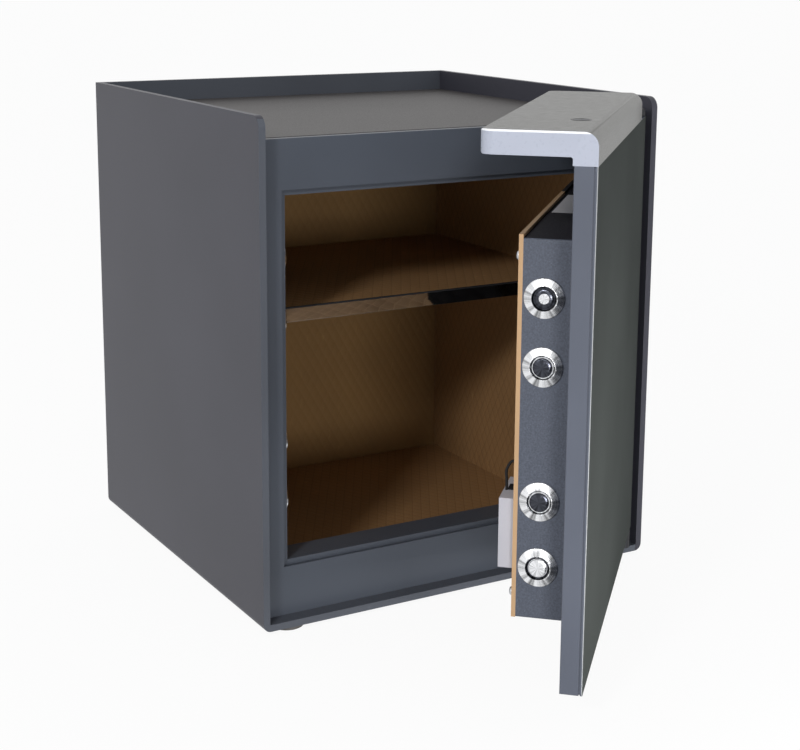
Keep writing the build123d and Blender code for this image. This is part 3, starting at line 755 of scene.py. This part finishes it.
# One operator for each piece or group of like pieces
class SAFE_OT_shell(bpy.types.Operator):
    """Bent outer sheet, rear panel and top tray"""
    bl_idname = "safe.shell"
    bl_label = "Outer shell and tray"
    bl_options = {"REGISTER", "UNDO"}

    def execute(self, context):
        paint, edge = finish("cabinet_coat"), sizes().sheet_edge
        shell = dress("outer_shell", "cabinet", "cabinet_paint", paint, edge, 3)
        rear = dress("rear_panel", "cabinet", "cabinet_paint", paint, edge, 3)
        dress("top_tray", "cabinet", "cabinet_paint", finish("tray_coat"), edge, 3)
        # The front-facing faces of the shell and rear panel, and the top of the base, take a
        # lighter coat: painted light.
        for piece in (shell, rear):
            add_finish(piece, finish("edge_coat"), self.is_lit_front)
        add_finish(shell, finish("edge_coat"), self.is_lit_base_top)
        return {"FINISHED"}

    def is_lit_front(self, face):
        return face.normal.y < -FACES and face.center.x < HINGE_WING_X

    def is_lit_base_top(self, face):
        return face.normal.z > FACES and face.center.z < BASE_TOP_Z


class SAFE_OT_front_frame(bpy.types.Operator):
    """Front frame, jamb plates and folded lips"""
    bl_idname = "safe.front_frame"
    bl_label = "Front frame and throat"
    bl_options = {"REGISTER", "UNDO"}

    def execute(self, context):
        for node in ("front_frame", "throat_left", "throat_right", "throat_sill", "throat_head"):
            dress(node, "cabinet", "frame_paint", finish("frame_coat"), sizes().metal_edge)
        return {"FINISHED"}


class SAFE_OT_body(bpy.types.Operator):
    """Steel body behind the lining"""
    bl_idname = "safe.body"
    bl_label = "Inner body"
    bl_options = {"REGISTER", "UNDO"}

    def execute(self, context):
        for node in ("body_left", "body_right", "body_back", "body_floor", "body_ceiling"):
            paint_node(node, finish("primer"))
        return {"FINISHED"}


class SAFE_OT_lining(bpy.types.Operator):
    """Quilted lining on the walls, floor, ceiling and shelf"""
    bl_idname = "safe.lining"
    bl_label = "Quilted lining"
    bl_options = {"REGISTER", "UNDO"}

    def execute(self, context):
        lining_panel("lining_left", "x", 1)
        lining_panel("lining_right", "x", -1)
        lining_panel("lining_back", "y", -1)
        lining_panel("lining_ceiling", "z", -1)
        lining_panel("floor_mat", "z", 1)
        lining_panel("shelf", "z", 1)
        return {"FINISHED"}


class SAFE_OT_shelf_trim(bpy.types.Operator):
    """Polished strip on the shelf's front, and the brackets under it"""
    bl_idname = "safe.shelf_trim"
    bl_label = "Shelf trim and brackets"
    bl_options = {"REGISTER", "UNDO"}

    def execute(self, context):
        edge = sizes().metal_edge
        trim = dress("shelf_trim", "cabinet", "mirror_trim", finish("trim_mirror"), edge)
        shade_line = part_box("shelf_trim")[1].z - sizes().trim_shade
        cut(trim, (0, 0, shade_line), (0, 0, 1))
        # The band along the top of the trim is painted black: painted shade between the trim and
        # the shelf.
        add_finish(trim, finish("works_black"), lambda face: face.center.z > shade_line)
        dress("shelf_brackets", "cabinet", "zinc_steel", finish("zinc"), edge)
        return {"FINISHED"}


class SAFE_OT_strikes(bpy.types.Operator):
    """Four turned rings round the bolt holes in the jamb"""
    bl_idname = "safe.strikes"
    bl_label = "Strike rings"
    bl_options = {"REGISTER", "UNDO"}

    def execute(self, context):
        profile = [
            (17.5, 0.0),
            (17.5, 3.1),
            (17.2, 3.9),
            (16.4, 4.5),
            (13.2, 4.4),
            (12.9, 4.2),
            (12.4, 4.2),
            (11.5, 4.0),
            (11.0, 3.4),
            (11.0, 0.0),
        ]
        for piece, z in zip(four(turned("strike_ring_turned_1", profile, True)), BOLT_HEIGHTS):
            place = Vector((-THROAT_X, DOOR_FACE_Y + BOLT_DEPTH, z))
            settle(piece, Matrix.Translation(place) @ Matrix.Rotation(math.pi / 2, 4, "Y"))
            finish_piece(piece, "cabinet", "strike_chrome", finish("chrome_turned"), "strike_rings")
        return {"FINISHED"}


class SAFE_OT_feet(bpy.types.Operator):
    """Four rubber feet, each with a screw in its middle"""
    bl_idname = "safe.feet"
    bl_label = "Feet"
    bl_options = {"REGISTER", "UNDO"}

    def execute(self, context):
        profile = [
            (6.0, -2.4),
            (6.4, -3.6),
            (7.2, -4.0),
            (15.6, -4.0),
            (16.6, -3.4),
            (17.0, -2.6),
            (17.0, 0.0),
            (6.0, 0.0),
        ]
        foot = turned("foot_pad_1", profile, True)
        profile = [(0.6, -2.6), (1.2, -3.3), (4.6, -3.0), (5.6, -2.2), (5.6, 0.0)]
        screw = turned("foot_screw_1", profile, False, 48)
        low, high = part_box("feet")
        xs = (low.x + FOOT_INSET, high.x - FOOT_INSET)
        ys = (low.y + FOOT_INSET, high.y - FOOT_INSET)
        places = [(x, y) for x in xs for y in ys]
        for pad, pin, (x, y) in zip(four(foot), four(screw), places):
            settle(pad, Matrix.Translation((x, y, 0)))
            finish_piece(pad, "cabinet", "foot_rubber", finish("foot_rubber"), "feet")
            settle(pin, Matrix.Translation((x, y, 0)))
            finish_piece(pin, "cabinet", "zinc_steel", finish("zinc"), "feet")
        return {"FINISHED"}


class SAFE_OT_hinges(bpy.types.Operator):
    """Hinge brackets, pins and thrust washer"""
    bl_idname = "safe.hinges"
    bl_label = "Hinges"
    bl_options = {"REGISTER", "UNDO"}

    def execute(self, context):
        edge = sizes().metal_edge
        for node in ("hinge_bracket_top", "hinge_bracket_bottom"):
            dress(node, "cabinet", "zinc_steel", finish("black_steel"), edge)
        for node in ("hinge_pin_top", "hinge_pin_bottom"):
            dress(node, "cabinet", "pin_steel", finish("black_steel"), edge)
        dress("thrust_washer", "cabinet", "washer_brass", finish("brass"), 0)
        return {"FINISHED"}


class SAFE_OT_door_leaf(bpy.types.Operator):
    """Outer sheet, folded pan and inner plate of the door"""
    bl_idname = "safe.door_leaf"
    bl_label = "Door leaf"
    bl_options = {"REGISTER", "UNDO"}

    def execute(self, context):
        paint, edge = finish("door_coat"), sizes().metal_edge
        for node in ("door_pan", "door_plate"):
            dress(node, "door", "door_paint", paint, edge)
        sheet = dress("door_face", "door", "door_paint", paint, edge)
        outward = along_door((0, -1, 0))
        add_finish(sheet, finish("door_outside"), facing(outward, SQUARE_ON))
        # The bevel between the outer face and the free edge takes a painted highlight.
        between = (outward + along_door((-1, 0, 0))).normalized()
        add_finish(sheet, finish("door_line"), facing(between, CORNER))
        return {"FINISHED"}


class SAFE_OT_grip_cap(bpy.types.Operator):
    """Aluminium grip along the top of the door"""
    bl_idname = "safe.grip_cap"
    bl_label = "Grip cap"
    bl_options = {"REGISTER", "UNDO"}

    def execute(self, context):
        cap = dress("grip_cap", "door", "cap_aluminium", finish("cap_satin"), sizes().cap_edge, 3)
        # A band along the top edge of the cap's end takes a painted highlight.
        rim = CAP_TOP_Z - sizes().cap_rim
        cut(cap, (0, 0, rim), (0, 0, 1))
        is_end = facing(along_door((-1, 0, 0)), LEANS)
        # The cap's end takes a pale bright colour: bare cut metal, partly painted reflection.
        add_finish(cap, finish("cap_bright"), is_end)
        add_finish(cap, finish("glint"), lambda face: is_end(face) and face.center.z > rim)
        return {"FINISHED"}


class SAFE_OT_reader(bpy.types.Operator):
    """Fingerprint reader in the cap: a dark ring round a ridged window"""
    bl_idname = "safe.reader"
    bl_label = "Fingerprint reader"
    bl_options = {"REGISTER", "UNDO"}

    def execute(self, context):
        place = opened() @ Matrix.Translation(door_place(SENSOR_U, SENSOR_D, CAP_TOP_Z))
        profile = [
            (9.0, -1.2),
            (9.0, 0.05),
            (8.8, 0.25),
            (8.4, 0.30),
            (7.2, 0.22),
            (6.8, 0.05),
            (6.6, -0.2),
            (6.6, -1.2),
        ]
        ring = turned("reader_ring", profile, True)
        settle(ring, place)
        finish_piece(ring, "door", "sensor_ring", finish("ring_dark"), "sensor_ring")
        profile = [(6.5, -1.2), (6.5, -0.1)]
        for n in range(6):
            radius = 6.2 - n
            profile += [(radius, 0.0), (radius - 0.45, -0.02), (radius - 0.55, -0.16)]
        profile += [(0.4, -0.16)]
        window = turned("reader_window", profile, False)
        settle(window, place)
        finish_piece(window, "door", "sensor_glass", finish("reader_glass"), "sensor_lens")
        return {"FINISHED"}


class SAFE_OT_lock_case(bpy.types.Operator):
    """Lock case with its bare plate, cover board and screws"""
    bl_idname = "safe.lock_case"
    bl_label = "Lock case and cover"
    bl_options = {"REGISTER", "UNDO"}

    def execute(self, context):
        case = dress("lock_case", "door", "case_paint", finish("case_coat"), sizes().case_edge)
        # The case's top faces take a darker coat: painted shade under the grip cap.
        add_finish(case, finish("case_top"), facing(Vector((0, 0, 1)), SQUARE_ON))
        self.build_board()
        top = CASE_TOP_Z
        plate = door_box("case_plate", *PLATE_U, *PLATE_D, top, top + sizes().label_rise)
        settle(plate, opened())
        soften(plate, sizes().label_edge, 1)
        finish_piece(plate, "door", "zinc_steel", finish("label_plate"))
        self.build_screws()
        return {"FINISHED"}

    def build_board(self):
        """The tan board, whose inner face is quilted as the lining is."""
        low = door_place(CASE_EDGE_U, BOARD_FACE - BOARD_THICKNESS, BOARD_BOTTOM_Z)
        high = door_place(BOARD_HINGE_U, BOARD_FACE, BOARD_TOP_Z)
        cell, rise = sizes().board_cell, sizes().board_rise
        board, seams = quilted("cover_board_quilt", low, high, "y", 1, cell, rise)
        settle(board, opened())
        finish_piece(board, "door", "board_plastic", finish("board_tan"), "cover_board")
        add_finish(board, finish("board_stitch"), lambda face: face.index in seams)
        cut(board, opened() @ door_place(DARK_U, BOARD_FACE, 0), along_door((1, 0, 0)))
        joint = HINGE_EDGE - DARK_U
        unturn = opened().inverted()
        add_finish(board, finish("works_black"), lambda face: (unturn @ face.center).x > joint)

    def build_screws(self):
        profile = [(4.0, 0.0), (4.0, 1.2), (3.7, 2.1), (3.0, 2.8), (1.9, 3.15), (0.4, 3.2)]
        head = turned("cover_screw_head_1", profile, False, 40)
        self.cut_cross(head)
        for piece, (u, z) in zip(four(head), SCREW_PLACES):
            settle(piece, to_inside(u, BOARD_FACE, z))
            finish_piece(piece, "door", "zinc_steel", finish("zinc"), "cover_screws")

    def cut_cross(self, head):
        half = sizes().screw_slot / 2
        low, high = CROSS_Z
        for x, y in ((CROSS_REACH, half), (half, CROSS_REACH)):
            cutter = box_piece("cross_cutter", (-x, -y, low), (x, y, high))
            pick(head)
            cross = head.modifiers.new("cross", "BOOLEAN")
            cross.operation = "DIFFERENCE"
            cross.solver = "EXACT"
            cross.object = cutter
            bpy.ops.object.modifier_apply(modifier=cross.name)
            bpy.data.objects.remove(cutter)


class SAFE_OT_rosettes(bpy.types.Operator):
    """Four turned rosettes with the bushes that guide the bolts"""
    bl_idname = "safe.rosettes"
    bl_label = "Rosettes"
    bl_options = {"REGISTER", "UNDO"}

    def execute(self, context):
        profile = [
            (17.75, 0.0),
            (17.75, 0.60),
            (17.45, 1.05),
            (16.90, 1.30),
            (14.00, 2.40),
            (11.70, 3.30),
            (11.25, 3.45),
            (10.90, 3.40),
            (10.60, 3.10),
            (10.50, 2.60),
            (10.50, -10.0),
            (12.50, -10.0),
            (12.50, 0.0),
        ]
        for piece, z in zip(four(turned("rosette_turned_1", profile, True, 96)), BOLT_HEIGHTS):
            settle(piece, to_free_edge(CASE_EDGE_U, BOLT_DEPTH, z))
            finish_piece(piece, "door", "bolt_chrome", finish("chrome_turned"), "rosettes")
        return {"FINISHED"}


class SAFE_OT_bolts(bpy.types.Operator):
    """Four chrome bolts with the bar and the push rod that carry them"""
    bl_idname = "safe.bolts"
    bl_label = "Bolts and bolt bar"
    bl_options = {"REGISTER", "UNDO"}

    def execute(self, context):
        tip = BOLT_REACH_MM
        profile = [
            (0.5, tip),
            (2.5, tip - 0.06),
            (4.5, tip - 0.22),
            (6.3, tip - 0.55),
            (7.6, tip - 1.0),
            (8.0, tip - 1.5),
            (8.4, tip - 1.5),
            (8.7, tip - 1.1),
            (9.2, tip - 1.1),
            (9.8, tip - 1.5),
            (10.0, tip - 2.2),
            (10.0, 0.0),
            (5.0, 0.0),
            (5.0, -3.0),
        ]
        end = (tip - BOLT_END_MM) * MM
        pieces = four(turned("bolt_turned_1", profile, False, 80))
        # Part of each bolt's end takes a dark finish: painted reflection, and painted shadow on the
        # fourth.
        for piece, z, (inner, outer) in zip(pieces, BOLT_HEIGHTS, PAINTED_DARK_ENDS):
            ends = [face for face in piece.data.polygons if face.center.z > end]
            rings = [(face.index, math.hypot(face.center.x, face.center.y) / MM) for face in ends]
            dark = {index for index, radius in rings if inner <= radius <= outer}
            settle(piece, to_free_edge(BOLT_BASE_U, BOLT_DEPTH, z))
            finish_piece(piece, "bolt_carriage", "bolt_chrome", finish("chrome_bright"), "bolts")
            add_finish(piece, finish("chrome_dark"), lambda face: face.index in dark)
        dress("bolt_bar", "bolt_carriage", "zinc_steel", finish("zinc"), 0)
        dress("actuator_rod", "bolt_carriage", "pin_steel", finish("ground_steel"), 0)
        return {"FINISHED"}


class SAFE_OT_works(bpy.types.Operator):
    """Guide studs, actuator and circuit board inside the lock case"""
    bl_idname = "safe.works"
    bl_label = "Lock works"
    bl_options = {"REGISTER", "UNDO"}

    def execute(self, context):
        dress("guide_studs", "door", "zinc_steel", finish("zinc"), 0)
        dress("actuator", "door", "actuator_case", finish("works_black"), 0)
        dress("circuit_board", "door", "circuit_green", finish("solder_mask"), 0)
        return {"FINISHED"}


class SAFE_OT_battery(bpy.types.Operator):
    """Battery box with its sliding lid, clip, lead and grommet"""
    bl_idname = "safe.battery"
    bl_label = "Battery box and lead"
    bl_options = {"REGISTER", "UNDO"}

    def execute(self, context):
        plastic, rubber = finish("battery_plastic"), finish("rubber")
        dress("battery_box", "door", "battery_plastic", plastic, sizes().box_edge, 3)
        dress("battery_lid", "battery_lid", "battery_plastic", plastic, sizes().fine_edge)
        dress("lead_grommet", "door", "lead_black", rubber, sizes().fine_edge)
        dress("battery_lead", "door", "lead_black", rubber, 0)
        clip = door_box("battery_clip", *CLIP_U, *CLIP_D, BOX_TOP_Z, BOX_TOP_Z + CLIP_HEIGHT)
        settle(clip, opened())
        soften(clip, sizes().metal_edge)
        finish_piece(clip, "door", "actuator_case", finish("works_black"))
        return {"FINISHED"}


class SAFE_OT_stage(bpy.types.Operator):
    """Camera, pale floor, room light and three lamps"""
    bl_idname = "safe.stage"
    bl_label = "Stage"
    bl_options = {"REGISTER", "UNDO"}

    def execute(self, context):
        self.build_camera()
        self.build_floor()
        self.build_room()
        for name, place, size, power in LAMPS:
            self.build_lamp(name, place, size, getattr(context.scene.safe_stage, power))
        return {"FINISHED"}

    def build_camera(self):
        yaw, pitch, roll = (math.radians(angle) for angle in CAMERA_ANGLES)
        along = math.cos(pitch)
        forward = Vector((math.sin(yaw) * along, math.cos(yaw) * along, -math.sin(pitch)))
        right = Vector((math.cos(yaw), -math.sin(yaw), 0))
        up = right.cross(forward)
        rolled_right = math.cos(roll) * right + math.sin(roll) * up
        rolled_up = math.cos(roll) * up - math.sin(roll) * right
        clear_start()
        bpy.ops.object.camera_add(location=(0, 0, 0))
        camera = bpy.context.object
        turn = Matrix((rolled_right, rolled_up, -forward)).transposed()
        camera.matrix_world = Matrix.Translation(CAMERA_PLACE) @ turn.to_4x4()
        camera.data.sensor_width = CAMERA_SENSOR
        camera.data.lens = CAMERA_LENS
        camera.data.shift_y = CAMERA_SHIFT
        bpy.context.scene.camera = camera

    def build_floor(self):
        clear_start()
        bpy.ops.mesh.primitive_plane_add(size=FLOOR_SIZE, location=(0, 0, CAD_BOX[0][2]))
        floor = settle(start("floor"))
        material, tree, shader = empty_material("floor_pale")
        speck = noise(tree, place_nodes(tree), 3.0, 2.0)
        pale, paler = (0.88, 0.88, 0.885, 1), (0.92, 0.92, 0.92, 1)
        tones = blend_colours(tree, spread(tree, speck, 0.0, 1.0), pale, paler)
        coat(tree, shader, tones, spread(tree, speck, 0.6, 0.7))
        self.show_white(tree, shader.outputs["BSDF"], 1.0 - bpy.context.scene.safe_stage.floor_show)
        floor.data.materials.append(material)

    def show_white(self, tree, surface, whiteness):
        """Shows the backdrop's rays mostly plain white, and the floor's own shade for the rest."""
        part = add_node(tree, "ShaderNodeMath", {"operation": "MULTIPLY"})
        part.inputs[1].default_value = whiteness
        tree.links.new(self.backdrop_rays(tree), part.inputs[0])
        white = add_node(tree, "ShaderNodeEmission", {}, {"Color": (1, 1, 1, 1), "Strength": 1.0})
        mix = add_node(tree, "ShaderNodeMixShader")
        tree.links.new(part.outputs["Value"], mix.inputs["Fac"])
        tree.links.new(surface, mix.inputs[1])
        tree.links.new(white.outputs["Emission"], mix.inputs[2])
        output = next(node for node in tree.nodes if node.bl_idname == "ShaderNodeOutputMaterial")
        tree.links.new(mix.outputs["Shader"], output.inputs["Surface"])

    def backdrop_rays(self, tree):
        """1 for the rays that see plain white: the camera's, and those off gloss or in glass."""
        path = add_node(tree, "ShaderNodeLightPath")
        seen = path.outputs["Is Camera Ray"]
        for other in ("Is Glossy Ray", "Is Transmission Ray"):
            either = add_node(tree, "ShaderNodeMath", {"operation": "MAXIMUM"})
            tree.links.new(seen, either.inputs[0])
            tree.links.new(path.outputs[other], either.inputs[1])
            seen = either.outputs["Value"]
        return seen

    def build_room(self):
        world = bpy.data.worlds.new("room")
        bpy.context.scene.world = world
        world.use_nodes = True
        tree = world.node_tree
        tree.nodes.clear()
        output = add_node(tree, "ShaderNodeOutputWorld")
        level = bpy.context.scene.safe_stage.room_light
        soft, plain = (0.97, 0.985, 1.0, 1), (1, 1, 1, 1)
        dim = add_node(tree, "ShaderNodeBackground", {}, {"Color": soft, "Strength": level})
        white = add_node(tree, "ShaderNodeBackground", {}, {"Color": plain, "Strength": 1.0})
        mix = add_node(tree, "ShaderNodeMixShader")
        tree.links.new(self.backdrop_rays(tree), mix.inputs["Fac"])
        tree.links.new(dim.outputs["Background"], mix.inputs[1])
        tree.links.new(white.outputs["Background"], mix.inputs[2])
        tree.links.new(mix.outputs["Shader"], output.inputs["Surface"])

    def build_lamp(self, name, place, size, power):
        clear_start()
        bpy.ops.object.light_add(type="AREA", location=place)
        lamp = bpy.context.object
        lamp.name = name
        lamp.data.size = size
        lamp.data.energy = power
        aim = LAMP_AIM - Vector(place)
        lamp.rotation_euler = aim.to_track_quat("-Z", "Y").to_euler()


class SAFE_PT_panel(bpy.types.Panel):
    """Lists the safe's sizes, colours, stage and pieces"""
    bl_idname = "SAFE_PT_panel"
    bl_label = "Biometric Safe"
    bl_space_type = "VIEW_3D"
    bl_region_type = "UI"
    bl_category = "Safe"

    def draw(self, context):
        for group in ("safe_sizes", "safe_colours", "safe_stage"):
            holder = getattr(context.scene, group)
            box = self.layout.box()
            for name in holder.__annotations__:
                box.prop(holder, name)
        for operator in OPERATORS:
            self.layout.operator(operator.bl_idname)


OPERATORS = (
    SAFE_OT_stage,
    SAFE_OT_shell,
    SAFE_OT_front_frame,
    SAFE_OT_body,
    SAFE_OT_lining,
    SAFE_OT_shelf_trim,
    SAFE_OT_strikes,
    SAFE_OT_feet,
    SAFE_OT_hinges,
    SAFE_OT_door_leaf,
    SAFE_OT_grip_cap,
    SAFE_OT_reader,
    SAFE_OT_lock_case,
    SAFE_OT_rosettes,
    SAFE_OT_bolts,
    SAFE_OT_works,
    SAFE_OT_battery,
)
GROUPS = {"safe_sizes": SafeSizes, "safe_colours": SafeColours, "safe_stage": SafeStage}
CLASSES = tuple(GROUPS.values()) + OPERATORS + (SAFE_PT_panel,)


def register():
    for item in CLASSES:
        bpy.utils.register_class(item)
    for name, group in GROUPS.items():
        setattr(bpy.types.Scene, name, bpy.props.PointerProperty(type=group))


def unregister():
    for name in GROUPS:
        delattr(bpy.types.Scene, name)
    for item in reversed(CLASSES):
        bpy.utils.unregister_class(item)


def main():
    register()
    scene = bpy.context.scene
    scene.view_settings.view_transform = "Standard"
    bpy.ops.safe.stage()
    bpy.ops.safe.shell()
    bpy.ops.safe.front_frame()
    bpy.ops.safe.body()
    bpy.ops.safe.lining()
    bpy.ops.safe.shelf_trim()
    bpy.ops.safe.strikes()
    bpy.ops.safe.feet()
    bpy.ops.safe.hinges()
    bpy.ops.safe.door_leaf()
    bpy.ops.safe.grip_cap()
    bpy.ops.safe.reader()
    bpy.ops.safe.lock_case()
    bpy.ops.safe.rosettes()
    bpy.ops.safe.bolts()
    bpy.ops.safe.works()
    bpy.ops.safe.battery()


if __name__ == "__main__":
    main()
